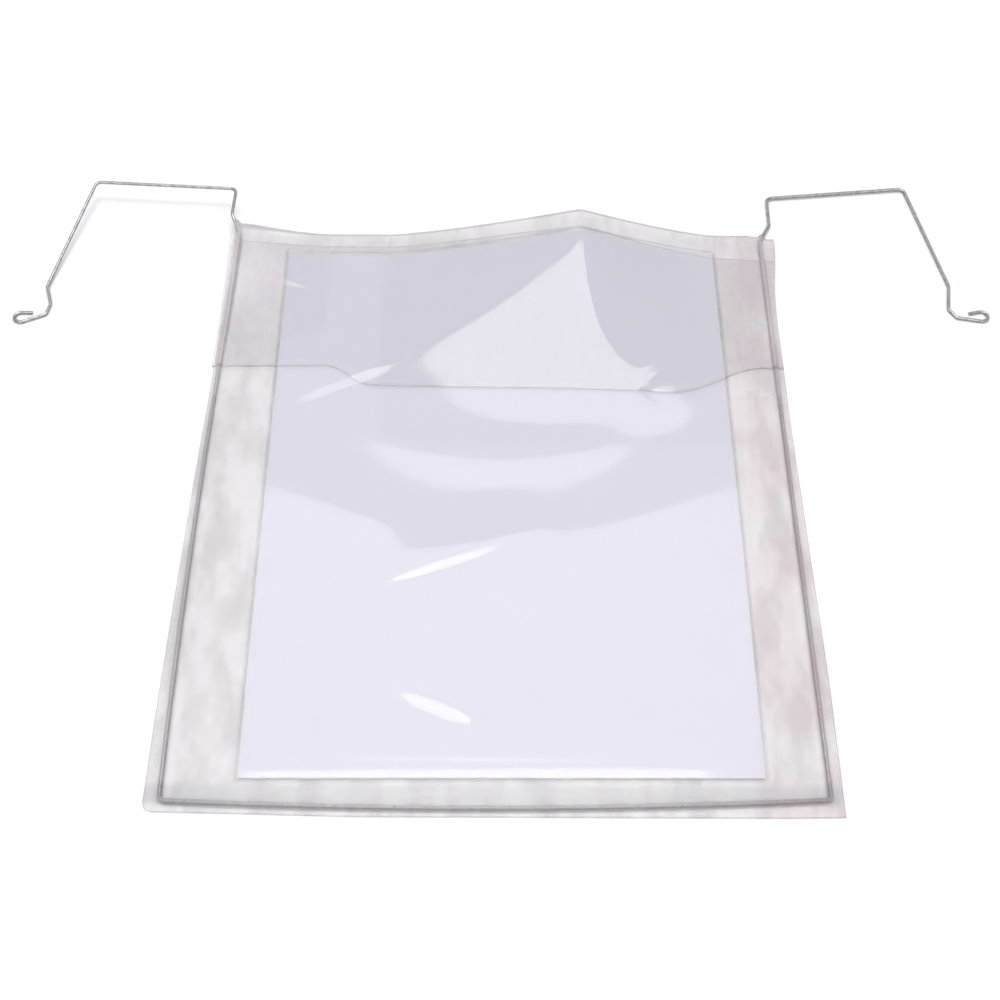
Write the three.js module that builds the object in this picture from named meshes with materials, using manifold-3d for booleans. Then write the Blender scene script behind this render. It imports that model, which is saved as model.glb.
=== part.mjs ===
// Wire document pocket: a clear film pocket with a rain flap, a bent wire hanger
// welded into its edge, and a sheet of paper in it. The pocket lies flat, front up.
// Units are millimetres. X runs across the pocket, Y from its lower edge to the
// hooks, Z up from the table.

import * as THREE from 'three';
import { mergeVertices } from 'three/addons/utils/BufferGeometryUtils.js';
import Module from 'manifold-3d';

// Paper
const paperWidth = 210;
const paperLength = 297;
const paperThickness = 0.2;
const paperMiddle = 1;
const paperLowerEdge = 17.5;
const paperTurn = 0.004;

// Film pocket
const roomAbovePaper = 14;
const filmThickness = 0.3;
const layerGap = 0.35;
const weldGap = 0.3;
const flapDepthAtSides = 89.5;
const flapDepthLeftOfMiddle = 101;
const flapDepthRightOfMiddle = 106.5;
const flapStepLeft = -71;
const flapStepLeftHalf = 11;
const flapStepRight = 101;
const flapStepRightHalf = 22;
const flapOverhang = 0.8;
const cornerRadius = 4;
const lipCornerRadius = 2.5;
const foldDropAtRightMargin = 1.7;

// How far the film reaches beyond the paper's half width, read off up the pocket:
// each point is a share of the pocket's length and a distance
const leftReach = [[0, 36], [0.18, 34.9], [0.37, 33.1], [0.55, 31.3], [0.7, 29.3], [0.97, 26.9], [1, 26.4]];
const rightReach = [[0, 31.8], [0.18, 31.4], [0.4, 29.6], [0.7, 27.4], [0.88, 27.3], [0.97, 29.6], [1, 30]];

// The lower edge, as points of distance across and height, and the front film's
// upper lip, as points of distance across and depth below the top of the pocket
const lowerEdge = [[-141, 1.8], [-106, 1.2], [-58, 0], [118, 0], [137, 0.4]];
const lipDepth = [[-128, 8], [-100, 8.4], [0, 9], [38, 11.2], [105, 16], [127, 17]];

// Wire hanger: the frame inside the pocket's margins
const wireDiameter = 1.6;
const wireClearance = 0.3;
const wireSides = 8;
const bendRadius = 3;
const tightBendRadius = 2;
const leftMarginAtCorner = 6.5;
const rightMarginAtCorner = 5.1;
const leftMarginAtKnee = 3.8;
const rightMarginAtKnee = 7.4;
const leftCornerHeight = 6.4;
const rightCornerHeight = 7.8;
const leftKneeDepth = 6.7;
const rightKneeDepth = 4.1;
const leftBarBow = 2.2;
const rightBarBow = 0;
const lowerBarBow = 3.6;

// Each hook, bend by bend: how far the next stretch goes outward, up the pocket,
// and how high its end is lifted from where the wire would lie on the table
const rightHook = {
  kink: [5.7, 11.6, 0.5],
  neck: [0.3, 19.7, 0.5],
  shoulder: [69.5, 7.4, 0.5],
  leg: [13.9, -68.7, 0.3],
  jog: [-2.1, -15.5, 0.1],
  foot: [3.2, -5.4, 0.1],
};
const leftHook = {
  kink: [4.8, 12.8, 8.2],
  neck: [-0.7, 17.6, 8.8],
  shoulder: [70.2, 4.7, 8.6],
  leg: [16.7, -65.6, 0.8],
  jog: [-3, -10.9, 0.1],
  foot: [1.2, -7, 0.1],
};
const eyeRadius = 3.1;
const eyeShank = 11.5;
const eyeTurn = 205;
const eyeTail = 5.2;
const rightEyeLean = -11;
const leftEyeLean = -25;

// The ridge that the film and the paper stand up in at the top edge, and the lifted corner
const ridgeX = 38.5;
const ridgeHeight = 17.3;
const ridgeWidthLeft = 93;
const ridgeWidthRight = 67;
const ridgeLength = 132;
const ridgeCrest = 3;
const ridgeCrestGrowth = 30;
const ridgeSteepness = 1.3;
const ridgeTakeUp = 3.4;
const cornerLift = 4.2;
const cornerLiftWidth = 45;
const cornerLiftLength = 66;
const flapCornerLift = 3.9;
const flapCornerLiftLength = 46;

// How finely the wire and the sheets are divided
const leftBarSteps = 12;
const rightBarSteps = 6;
const lowerBarSteps = 8;
const eyeSteps = 9;
const bendStep = 0.4;
const straightBelow = 0.02;
const foldSteps = 5;
const flapRows = 9;
const flapRowSpread = 1.3;
const sameCorner = 1e-5;

// Sizes that follow from the ones above
const pocketLength = paperLowerEdge + paperLength + roomAbovePaper;
const pocketRoom = filmThickness + paperThickness + 2 * layerGap;
const wireRadius = wireDiameter / 2;
const wireHeight = filmThickness + wireClearance + wireRadius;
const flapOffset = pocketRoom + filmThickness + layerGap;
const foldLine = pocketLength - (flapOffset + filmThickness) / 2;

const clamp = (value, low, high) => Math.min(high, Math.max(low, value));
const smooth = (value) => {
  const s = clamp(value, 0, 1);
  return s * s * (3 - 2 * s);
};

// A value read off a line of points, straight between two of them
function along(points, place) {
  let i = 1;
  while (i < points.length - 1 && points[i][0] < place) {
    i += 1;
  }
  const [fromPlace, fromValue] = points[i - 1];
  const [toPlace, toValue] = points[i];
  const share = clamp((place - fromPlace) / (toPlace - fromPlace), 0, 1);
  return fromValue + share * (toValue - fromValue);
}

const leftSide = (y) => -paperWidth / 2 - along(leftReach, y / pocketLength);
const rightSide = (y) => paperWidth / 2 + along(rightReach, y / pocketLength);

// The lifted corner is at the top left
function cornerShare(x) {
  const start = leftSide(foldLine) + cornerLiftWidth;
  return clamp((start - x) / cornerLiftWidth, 0, 1) ** ridgeSteepness;
}

function lengthShare(y, length) {
  return smooth(1 - (foldLine - y) / length);
}

// How high the pocket's underside stands above the table
function rise(x, y) {
  const down = clamp((foldLine - y) / ridgeLength, 0, 1);
  const crest = ridgeCrest + ridgeCrestGrowth * down;
  const width = x < ridgeX ? ridgeWidthLeft : ridgeWidthRight;
  const reach = Math.hypot(width, crest) - crest;
  const off = clamp((Math.hypot(x - ridgeX, crest) - crest) / reach, 0, 1);
  const ridge = ridgeHeight * smooth(1 - down) * (1 - off) ** ridgeSteepness;
  return ridge + cornerLift * cornerShare(x) * lengthShare(y, cornerLiftLength);
}

// The four bends of the frame inside the pocket, at a margin from the film's edge
const insideLeft = (y, margin) => [leftSide(y) + margin, y];
const insideRight = (y, margin) => [rightSide(y) - margin, y];
const frameCornerLeft = insideLeft(leftCornerHeight, leftMarginAtCorner);
const frameCornerRight = insideRight(rightCornerHeight, rightMarginAtCorner);
const leftKnee = insideLeft(pocketLength - leftKneeDepth, leftMarginAtKnee);
const rightKnee = insideRight(pocketLength - rightKneeDepth, rightMarginAtKnee);

function inPocket([x, y]) {
  return new THREE.Vector3(x, y, wireHeight + rise(x, y));
}

// The points of a bar between two bends, without its ends
function bowedBar(from, to, bow, count) {
  const a = new THREE.Vector2(...from);
  const b = new THREE.Vector2(...to);
  const outward = new THREE.Vector2(b.y - a.y, a.x - b.x).normalize();
  const points = [];
  for (let i = 1; i < count; i += 1) {
    const share = i / count;
    const push = 4 * bow * share * (1 - share);
    points.push(a.clone().lerp(b, share).addScaledVector(outward, push));
  }
  return points.map((p) => inPocket([p.x, p.y]));
}

// From the knee outward to the free end: bends first, then the eye as an arc with a short tail
function hookBends(knee, hook, side) {
  const bends = [];
  let [x, y] = knee;
  for (const [out, up, lift] of Object.values(hook)) {
    x += side * out;
    y += up;
    bends.push(new THREE.Vector3(x, y, wireRadius + lift));
  }
  return bends;
}

function eyePoints(foot, side, lean) {
  const angle = THREE.MathUtils.degToRad(lean);
  const forward = new THREE.Vector2(Math.cos(angle), Math.sin(angle));
  const left = new THREE.Vector2(-forward.y, forward.x);
  const at = (ahead, across) => new THREE.Vector3(
    foot.x + side * (forward.x * ahead + left.x * across),
    foot.y + forward.y * ahead + left.y * across,
    wireRadius,
  );
  const points = [at(eyeShank, 0)];
  for (let i = 1; i <= eyeSteps; i += 1) {
    const turn = THREE.MathUtils.degToRad((eyeTurn * i) / eyeSteps);
    points.push(at(eyeShank + eyeRadius * Math.sin(turn), eyeRadius * (1 - Math.cos(turn))));
  }
  const last = THREE.MathUtils.degToRad(eyeTurn);
  points.push(at(
    eyeShank + eyeRadius * Math.sin(last) + eyeTail * Math.cos(last),
    eyeRadius * (1 - Math.cos(last)) + eyeTail * Math.sin(last),
  ));
  return points;
}

const rightBends = hookBends(rightKnee, rightHook, 1);
const leftBends = hookBends(leftKnee, leftHook, -1);
const rightEye = eyePoints(rightBends.at(-1), 1, rightEyeLean);
const leftEye = eyePoints(leftBends.at(-1), -1, leftEyeLean);
const leftBar = bowedBar(leftKnee, frameCornerLeft, leftBarBow, leftBarSteps);
const lowerBar = bowedBar(frameCornerLeft, frameCornerRight, lowerBarBow, lowerBarSteps);
const rightBar = bowedBar(frameCornerRight, rightKnee, rightBarBow, rightBarSteps);

// The wire from its left end to its right end, each point with the radius of its bend
const bend = (point, radius) => ({ point, radius });
const curved = (points) => points.map((point) => bend(point, 0));
const hookRadii = [bendRadius, bendRadius, bendRadius, tightBendRadius, tightBendRadius, tightBendRadius];
const hook = (bends) => bends.map((point, i) => bend(point, hookRadii[i]));
const wireBends = [
  ...curved(leftEye).toReversed(),
  ...hook(leftBends).toReversed(),
  bend(inPocket(leftKnee), bendRadius),
  ...curved(leftBar),
  bend(inPocket(frameCornerLeft), bendRadius),
  ...curved(lowerBar),
  bend(inPocket(frameCornerRight), bendRadius),
  ...curved(rightBar),
  bend(inPocket(rightKnee), bendRadius),
  ...hook(rightBends),
  ...curved(rightEye),
];

// Stations along the wire, each with its place and its direction
function wireStations(bends) {
  const stations = [];
  const direction = (a, b) => b.clone().sub(a).normalize();
  bends.forEach(({ point, radius }, i) => {
    if (i === 0 || i === bends.length - 1) {
      const near = i === 0 ? bends[1].point : bends[i - 1].point;
      const tangent = i === 0 ? direction(point, near) : direction(near, point);
      stations.push({ point, tangent });
      return;
    }
    const before = direction(bends[i - 1].point, point);
    const after = direction(point, bends[i + 1].point);
    const angle = before.angleTo(after);
    if (radius === 0 || angle < straightBelow) {
      stations.push({ point, tangent: before.clone().add(after).normalize() });
      return;
    }
    const setback = radius * Math.tan(angle / 2);
    const start = point.clone().addScaledVector(before, -setback);
    const axis = before.clone().cross(after).normalize();
    const inward = axis.clone().cross(before);
    const centre = start.clone().addScaledVector(inward, radius);
    const steps = Math.ceil(angle / bendStep);
    for (let k = 0; k <= steps; k += 1) {
      const turn = (angle * k) / steps;
      const spoke = inward.clone().multiplyScalar(-radius).applyAxisAngle(axis, turn);
      stations.push({
        point: centre.clone().add(spoke),
        tangent: before.clone().applyAxisAngle(axis, turn),
      });
    }
  });
  return stations;
}

// A curve through the stations, with one step of the extrusion at each of them
class StationCurve extends THREE.Curve {
  constructor(stations) {
    super();
    this.stations = stations;
  }

  between(t, key) {
    const place = clamp(t, 0, 1) * (this.stations.length - 1);
    const i = Math.min(Math.floor(place), this.stations.length - 2);
    return this.stations[i][key].clone().lerp(this.stations[i + 1][key], place - i);
  }

  getPoint(t) {
    return this.between(t, 'point');
  }

  getTangent(t) {
    return this.between(t, 'tangent').normalize();
  }

  getUtoTmapping(u) {
    return u;
  }
}

// A round rod along the stations; its flats and corners lie evenly inside and outside the radius
function tube(stations, radius, sides) {
  const section = new THREE.Shape();
  const corner = radius / Math.sqrt(Math.cos(Math.PI / sides));
  for (let i = 0; i < sides; i += 1) {
    const angle = (2 * Math.PI * (i + 0.5)) / sides;
    const place = [corner * Math.cos(angle), corner * Math.sin(angle)];
    if (i === 0) {
      section.moveTo(...place);
    } else {
      section.lineTo(...place);
    }
  }
  return new THREE.ExtrudeGeometry(section, {
    steps: stations.length - 1,
    bevelEnabled: false,
    extrudePath: new StationCurve(stations),
  });
}

const stations = wireStations(wireBends);
const wirePlan = stations.map(({ point }) => new THREE.Vector2(point.x, point.y));

// Distance from the wire's centre line, seen from above
function fromWire(x, y) {
  const p = new THREE.Vector2(x, y);
  let nearest = Infinity;
  for (let i = 1; i < wirePlan.length; i += 1) {
    const a = wirePlan[i - 1];
    const line = wirePlan[i].clone().sub(a);
    const share = clamp(p.clone().sub(a).dot(line) / line.lengthSq(), 0, 1);
    nearest = Math.min(nearest, p.distanceTo(a.clone().addScaledVector(line, share)));
  }
  return nearest;
}

// Where the frame's bars run: how far across at a height up the pocket, and how high at a place
const upward = (points) => points.map((p) => [p.y, p.x]);
const leftBarLine = upward([inPocket(leftKnee), ...leftBar, inPocket(frameCornerLeft)]).reverse();
const rightBarLine = upward([inPocket(frameCornerRight), ...rightBar, inPocket(rightKnee)]);
const lowerBarLine = [inPocket(frameCornerLeft), ...lowerBar, inPocket(frameCornerRight)]
  .map((p) => [p.x, p.y]);

// The film's channel over the wire: its inner face above the pocket's underside
const weldLevel = filmThickness + weldGap;
const channelSlope = 1.4;
const channelHalf = wireRadius + channelSlope;
const channelTop = wireHeight + wireRadius + wireClearance;
const channelShares = [0, 0.32, 0.6, 1];
const channelDrops = [0, 0.04, 0.42, 1];
const channel = channelShares.map((share, i) => [
  channelHalf * share,
  channelTop - channelDrops[i] * (channelTop - weldLevel),
]);
const pocketStart = channelHalf + 4;

function frontFace(x, y) {
  const distance = fromWire(x, y);
  if (distance < channelHalf) {
    return along(channel, distance);
  }
  const beside = x > along(leftBarLine, y) && x < along(rightBarLine, y);
  if (!beside || y < along(lowerBarLine, x)) {
    return weldLevel;
  }
  return along([[channelHalf, weldLevel], [pocketStart, pocketRoom]], distance);
}

function flapFace(x, y) {
  const lift = flapCornerLift * cornerShare(x) * lengthShare(y, flapCornerLiftLength);
  return frontFace(x, y) + filmThickness + layerGap + lift;
}

// Film outline, with a rounded corner at the lower left and one at the right end of the fold
function roundInset(distance, radius) {
  const d = clamp(radius - distance, 0, radius);
  return radius - Math.sqrt(radius * radius - d * d);
}

function leftEdge(y, overhang) {
  return leftSide(y) - overhang + roundInset(y - lowerEdge[0][1], cornerRadius);
}

function rightEdge(y) {
  const below = pocketLength - foldDropAtRightMargin - y;
  return rightSide(y) - roundInset(below, lipCornerRadius);
}

// The fold sinks a little from the right knee on, over most of the margin's width
function foldPlace(x) {
  const dropWidth = 0.6 * rightMarginAtKnee;
  return foldLine - foldDropAtRightMargin * smooth((x - rightKnee[0]) / dropWidth);
}

// The flap is cut deeper between its two steps
function flapEdge(x) {
  const leftStep = smooth((x - flapStepLeft + flapStepLeftHalf) / (2 * flapStepLeftHalf));
  const rightStep = smooth((flapStepRight + flapStepRightHalf - x) / (2 * flapStepRightHalf));
  const deeper = along(
    [[flapStepLeft, flapDepthLeftOfMiddle], [flapStepRight, flapDepthRightOfMiddle]],
    x,
  );
  return pocketLength - flapDepthAtSides - (deeper - flapDepthAtSides) * leftStep * rightStep;
}

const frontLip = (x) => pocketLength - along(lipDepth, x);

// Columns of every sheet: fixed ones inside, and ones that run along the wire's side bars.
// The fixed ones are shares of the way from the ridge to the last column on either side.
const leftShares = [1, 0.95, 0.89, 0.81, 0.72, 0.63, 0.52, 0.42, 0.32, 0.22, 0.14, 0.08, 0.03];
const rightShares = [0.06, 0.15, 0.26, 0.38, 0.53, 0.69, 0.87, 1];
const firstColumn = leftKnee[0] + pocketStart + 9.5;
const lastColumn = rightKnee[0] - pocketStart - 8;
const insideColumns = [
  ...leftShares.map((share) => ridgeX + share * (firstColumn - ridgeX)),
  ridgeX,
  ...rightShares.map((share) => ridgeX + share * (lastColumn - ridgeX)),
];
const overWire = channelShares.slice(1).map((share) => share * channelHalf);
const besideWire = [...overWire.map((d) => -d).reverse(), 0, ...overWire];

function filmColumns(y, overhang) {
  const left = along(leftBarLine, y);
  const right = along(rightBarLine, y);
  return [
    leftEdge(y, overhang),
    ...besideWire.map((d) => left + d),
    left + pocketStart,
    ...insideColumns,
    right - pocketStart,
    ...besideWire.map((d) => right + d),
    rightEdge(y),
  ];
}

const insideRowShares = [0.07, 0.21, 0.36, 0.46, 0.55, 0.63, 0.7, 0.76, 0.81, 0.86, 0.9];
const insideRows = insideRowShares.map((share) => share * pocketLength);
const lowColumns = filmColumns(insideRows[0], 0);
const topColumns = filmColumns(foldLine, 0);
const lastColumnIndex = lowColumns.length - 1;

// A sheet is a box divided into columns and rows whose corners are put in place one by one
function sheet(columns, rows, place) {
  const geometry = new THREE.BoxGeometry(1, 1, 1, columns, rows, 1);
  const position = geometry.attributes.position;
  const corner = new THREE.Vector3();
  for (let i = 0; i < position.count; i += 1) {
    corner.fromBufferAttribute(position, i).addScalar(0.5);
    const column = Math.round(corner.x * columns);
    const row = Math.round(corner.y * rows);
    position.setXYZ(i, ...place(column, row, Math.round(corner.z)));
  }
  geometry.deleteAttribute('normal');
  geometry.deleteAttribute('uv');
  return mergeVertices(geometry, sameCorner);
}

// Back film with the rain flap folded over from its top edge. Its first rows start
// from the cut lower edge, and its last one ends where the fold begins.
const edgeRows = [0, 1.5, 3];
const innerRows = [7, ...insideRows.slice(1), 0.94 * pocketLength, 0.97 * pocketLength];
const lastBackRow = edgeRows.length + innerRows.length;

function backRowPlace(column, row) {
  if (row < edgeRows.length) {
    return along(lowerEdge, lowColumns[column]) + edgeRows[row];
  }
  return row < lastBackRow ? innerRows[row - edgeRows.length] : foldPlace(lowColumns[column]);
}

function backFilmPlace(column, row, inner) {
  if (row <= lastBackRow) {
    const y = backRowPlace(column, row);
    const x = filmColumns(y, 0)[column];
    return [x, y, rise(x, y) + inner * filmThickness];
  }
  const base = topColumns[column];
  const start = foldPlace(base);
  if (row < lastBackRow + foldSteps) {
    const angle = Math.PI * ((row - lastBackRow) / foldSteps - 0.5);
    const outer = (flapFace(base, start) + filmThickness) / 2;
    const radius = outer - inner * filmThickness;
    const y = start + radius * Math.cos(angle);
    const x = column === lastColumnIndex ? rightEdge(y) : base;
    return [x, y, rise(base, start) + outer + radius * Math.sin(angle)];
  }
  const share = (row - lastBackRow - foldSteps) / flapRows;
  const y = start + share ** flapRowSpread * (flapEdge(base) - start);
  const x = filmColumns(y, flapOverhang * share)[column];
  return [x, y, rise(x, y) + flapFace(x, y) + (1 - inner) * filmThickness];
}

// Front film, open at its upper lip under the flap
const lowerRows = [...besideWire, pocketStart];
const lipRows = [0.5, 1];
const frontRowCount = lowerRows.length + insideRows.length + lipRows.length;

function frontRowPlace(column, row) {
  const base = lowColumns[column];
  if (row === 0) {
    return along(lowerEdge, base);
  }
  if (row <= lowerRows.length) {
    return along(lowerBarLine, base) + lowerRows[row - 1];
  }
  const inside = row - lowerRows.length - 1;
  if (inside < insideRows.length) {
    return insideRows[inside];
  }
  const last = insideRows.at(-1);
  return last + lipRows[inside - insideRows.length] * (frontLip(base) - last);
}

function frontFilmPlace(column, row, upper) {
  const y = frontRowPlace(column, row);
  const x = filmColumns(y, 0)[column];
  return [x, y, rise(x, y) + frontFace(x, y) + upper * filmThickness];
}

// Paper: it uses the film's columns and rows that lie well inside its edges
const edgeRoom = ridgeTakeUp / 2 + paperTurn * paperLength + 1;
const onPaper = (x) => Math.abs(x - paperMiddle) < paperWidth / 2 - edgeRoom;
const paperColumns = insideColumns.filter(onPaper);
const paperRows = insideRows.slice(1);

function paperPlace(column, row, upper) {
  const lower = row === 0;
  const top = row > paperRows.length;
  const level = lower || top ? paperLowerEdge + top * paperLength : paperRows[row - 1];
  const share = (level - paperLowerEdge) / paperLength;
  const half = (paperWidth - ridgeTakeUp * share ** 2) / 2;
  const middle = paperMiddle - paperTurn * share * paperLength;
  let x = middle - half;
  if (column > paperColumns.length) {
    x = middle + half;
  } else if (column > 0) {
    x = paperColumns[column - 1];
  }
  const y = lower || top ? level + paperTurn * x : level;
  const under = filmThickness + layerGap;
  return [x, y, rise(x, y) + under + upper * paperThickness];
}

// Where the wire comes out through the fold, the film has a slit round it
const slitClearance = 0.8 * wireClearance;
const slitSides = 12;
const wasm = await Module();
wasm.setup();

function solidOf(geometry) {
  const bare = geometry.clone();
  bare.deleteAttribute('normal');
  bare.deleteAttribute('uv');
  const merged = mergeVertices(bare, sameCorner);
  return new wasm.Manifold(new wasm.Mesh({
    numProp: 3,
    vertProperties: new Float32Array(merged.attributes.position.array),
    triVerts: new Uint32Array(merged.index.array),
  }));
}

function geometryOf(solid) {
  const mesh = solid.getMesh();
  const corners = new Float32Array(mesh.vertProperties);
  const triangles = new Uint32Array(mesh.triVerts);
  const geometry = new THREE.BufferGeometry();
  geometry.setAttribute('position', new THREE.BufferAttribute(corners, 3));
  geometry.setIndex(new THREE.BufferAttribute(triangles, 1));
  return geometry;
}

function slitCutter(knee, kink) {
  const from = inPocket(knee);
  const tangent = kink.clone().sub(from).normalize();
  const slit = [{ point: from, tangent }, { point: kink, tangent }];
  return solidOf(tube(slit, wireRadius + slitClearance, slitSides));
}

const foldedFilm = sheet(lastColumnIndex, lastBackRow + foldSteps + flapRows, backFilmPlace);
const backFilm = solidOf(foldedFilm)
  .subtract(slitCutter(leftKnee, leftBends[0]))
  .subtract(slitCutter(rightKnee, rightBends[0]));

// Materials and parts
const wireLook = { color: 0xb9bcc0, roughness: 0.25, metalness: 1 };
const filmLook = { color: 0xe9e6e8, roughness: 0.12, metalness: 0, transparent: true, opacity: 0.4 };
const paperLook = { color: 0xeeeef6, roughness: 0.8, metalness: 0 };
const pocket = new THREE.Group();

function part(name, geometry, look) {
  const mesh = new THREE.Mesh(geometry, new THREE.MeshStandardMaterial(look));
  mesh.name = name;
  pocket.add(mesh);
}

part('wire_hanger', tube(stations, wireRadius, wireSides), wireLook);
part('back_film_with_flap', geometryOf(backFilm), filmLook);
part('front_film', sheet(lastColumnIndex, frontRowCount, frontFilmPlace), filmLook);
part('document_sheet', sheet(paperColumns.length + 1, paperRows.length + 1, paperPlace), paperLook);

// The origin is on the table, under the middle of the whole part
const extent = new THREE.Box3().setFromObject(pocket, true);
const middle = extent.getCenter(new THREE.Vector3());
pocket.position.set(-middle.x, -middle.y, -extent.min.z);

export default pocket;
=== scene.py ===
# %% [markdown]
# # A clear document pocket on its wire hanger
#
# This lesson dresses the packed solids of a document pocket: two clear films with a
# rain flap, a bent wire whose hooks come out at the top, and a sheet of paper inside.
# Everything is in metres in the solids' own frame: X across the pocket, Y up the
# pocket towards the hooks, Z up from the table. The pocket lies flat, front up.
#
# A model could start from nothing here. This one starts from the solids, because a
# pocket that is dressed must still be the one that was drafted. They are loaded first,
# and their box is kept, because nothing that is made here may grow beyond it.

# %%
import math

import bpy
import numpy as np
from mathutils import Matrix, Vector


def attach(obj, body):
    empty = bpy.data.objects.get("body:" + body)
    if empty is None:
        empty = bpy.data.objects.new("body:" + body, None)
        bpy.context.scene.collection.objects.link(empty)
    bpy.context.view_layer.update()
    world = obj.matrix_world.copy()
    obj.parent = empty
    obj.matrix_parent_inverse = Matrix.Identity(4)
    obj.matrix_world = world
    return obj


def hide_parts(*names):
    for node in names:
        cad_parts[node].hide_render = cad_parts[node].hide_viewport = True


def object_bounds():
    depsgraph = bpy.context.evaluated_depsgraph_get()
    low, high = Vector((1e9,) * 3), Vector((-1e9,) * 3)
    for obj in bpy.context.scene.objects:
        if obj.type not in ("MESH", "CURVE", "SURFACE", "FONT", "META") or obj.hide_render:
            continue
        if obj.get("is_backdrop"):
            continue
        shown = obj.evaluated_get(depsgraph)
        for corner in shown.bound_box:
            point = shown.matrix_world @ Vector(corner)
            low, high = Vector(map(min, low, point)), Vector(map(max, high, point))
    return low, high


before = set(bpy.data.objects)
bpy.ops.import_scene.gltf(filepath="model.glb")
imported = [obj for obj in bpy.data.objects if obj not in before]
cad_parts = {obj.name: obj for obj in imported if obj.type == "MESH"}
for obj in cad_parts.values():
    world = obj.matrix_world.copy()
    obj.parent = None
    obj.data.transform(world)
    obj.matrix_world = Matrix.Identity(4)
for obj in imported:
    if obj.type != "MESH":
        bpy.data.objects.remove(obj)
cad_box = [list(corner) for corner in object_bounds()]
print("solids:", sorted(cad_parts))
print("box in mm:", [[round(1000 * v, 1) for v in corner] for corner in cad_box])

# %% [markdown]
# ## The camera
#
# A view could be matched by eye. Here the paper's four corners in the photograph fix
# it, because a standard sheet has known sides: the camera stands in front of the pocket
# and looks down at 51 degrees, through a short telephoto lens, and is turned by a
# quarter of a degree.

# %%
FOCAL_PIXELS = 2038.1
IMAGE_WIDTH = 1000
SENSOR_WIDTH = 36
LOOK_DOWN = math.radians(51.007)
ROLL = 0.00404
CAMERA_PLACE = (-0.00046, -0.5893, 0.7022)

lens = bpy.data.cameras.new("camera")
lens.sensor_width = SENSOR_WIDTH
lens.sensor_fit = "HORIZONTAL"
lens.lens = FOCAL_PIXELS / IMAGE_WIDTH * SENSOR_WIDTH
camera = bpy.data.objects.new("camera", lens)
tilt = Matrix.Rotation(math.pi / 2 - LOOK_DOWN, 4, "X")
camera.matrix_world = Matrix.Translation(CAMERA_PLACE) @ tilt @ Matrix.Rotation(ROLL, 4, "Z")
bpy.context.scene.collection.objects.link(camera)
bpy.context.scene.camera = camera
bpy.context.scene.view_settings.view_transform = "Standard"
print("lens:", round(lens.lens, 1), "mm")

# %% [markdown]
# ## Node trees as arithmetic
#
# Nodes can be placed and linked one at a time, but a long formula is hard to read that
# way, so shaders here are written as sums and products. A `Field` wraps one output of a
# node tree and knows the operators, on either side of a number. A `Tree` makes any node
# with one method: its inputs are named, and each takes a number, a colour or another
# field.

# %%
def socket_of(sockets, key):
    """The socket with this name or identifier that the node's settings leave in use."""
    for socket in sockets:
        if key in (socket.identifier, socket.name) and socket.enabled:
            return socket
    raise KeyError(key)


class Field:
    def __init__(self, tree, socket):
        self.tree = tree
        self.socket = socket

    def math(self, operation, *values):
        inputs = dict(zip(("Value", "Value_001"), values))
        return self.tree.node("ShaderNodeMath", inputs, operation=operation)

    def __add__(self, other):
        return self.math("ADD", self, other)

    def __sub__(self, other):
        return self.math("SUBTRACT", self, other)

    def __mul__(self, other):
        return self.math("MULTIPLY", self, other)

    def __radd__(self, other):
        return self.math("ADD", other, self)

    def __rsub__(self, other):
        return self.math("SUBTRACT", other, self)

    def __rmul__(self, other):
        return self.math("MULTIPLY", other, self)

    def sine(self):
        return self.math("SINE", self)

    def size(self):
        return self.math("ABSOLUTE", self)

    def larger(self, other):
        return self.math("MAXIMUM", self, other)

    def step(self, low, high):
        ends = {"Value": self, "From Min": low, "From Max": high}
        return self.tree.node("ShaderNodeMapRange", ends, "Result", interpolation_type="SMOOTHSTEP")

    def band(self, rising, falling):
        return self.step(*rising) * (1 - self.step(*falling))


class Tree:
    def __init__(self, owner):
        owner.use_nodes = True
        self.owner = owner
        self.nodes = owner.node_tree.nodes
        self.links = owner.node_tree.links
        self.nodes.clear()

    def node(self, kind, inputs=None, output=0, **settings):
        made = self.nodes.new(kind)
        for name, value in settings.items():
            setattr(made, name, value)
        for key, value in (inputs or {}).items():
            target = socket_of(made.inputs, key)
            if isinstance(value, Field):
                self.links.new(value.socket, target)
            else:
                target.default_value = value
        if not made.outputs:
            return made
        found = made.outputs[output] if isinstance(output, int) else socket_of(made.outputs, output)
        return Field(self, found)

    def attribute(self, name):
        return self.node("ShaderNodeAttribute", {}, "Fac", attribute_name=name)

    def noise(self, scale, detail, stretch=(1, 1, 1)):
        place = self.node("ShaderNodeTexCoord", {}, "Object")
        stretched = self.node("ShaderNodeMapping", {"Vector": place, "Scale": stretch})
        inputs = {"Vector": stretched, "Scale": scale, "Detail": detail}
        return self.node("ShaderNodeTexNoise", inputs, "Fac")

    def blend(self, share, first, second):
        inputs = {"Factor_Float": share, "A_Color": first, "B_Color": second}
        return self.node("ShaderNodeMix", inputs, "Result_Color", data_type="RGBA")

    def bump(self, height, distance):
        return self.node("ShaderNodeBump", {"Height": height, "Distance": distance})


print("operators ready:", [name for name in vars(Field) if name.startswith("__r")])

# %% [markdown]
# ## Table and light
#
# The table is white, and pale enough to vanish into the background, but it still takes
# soft shadows near the pocket. Its far parts look plain white, and so does the room,
# to the camera and in reflections.
#
# A glossy film shows what stands beyond it, so the lamps are what draws its bands of
# light. One large soft box hangs beyond the pocket's top edge. The camera sees it in the
# film's lower half, and further up only where the film slopes towards the camera. A
# narrow hot band in front of it lights the streaks. A third lamp hangs on the camera's
# side and fills in what the others leave dark. Each lamp is given as two elevations seen
# from the pocket, in degrees, two sides in metres and the radiance of its face.

# %%
TABLE_WHITE = (0.9, 0.9, 0.9, 1)
TABLE_SIZE = 12
FAR_TABLE = (0.35, 0.6)
BACKGROUND_WHITE = (1, 1, 1, 1)

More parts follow.
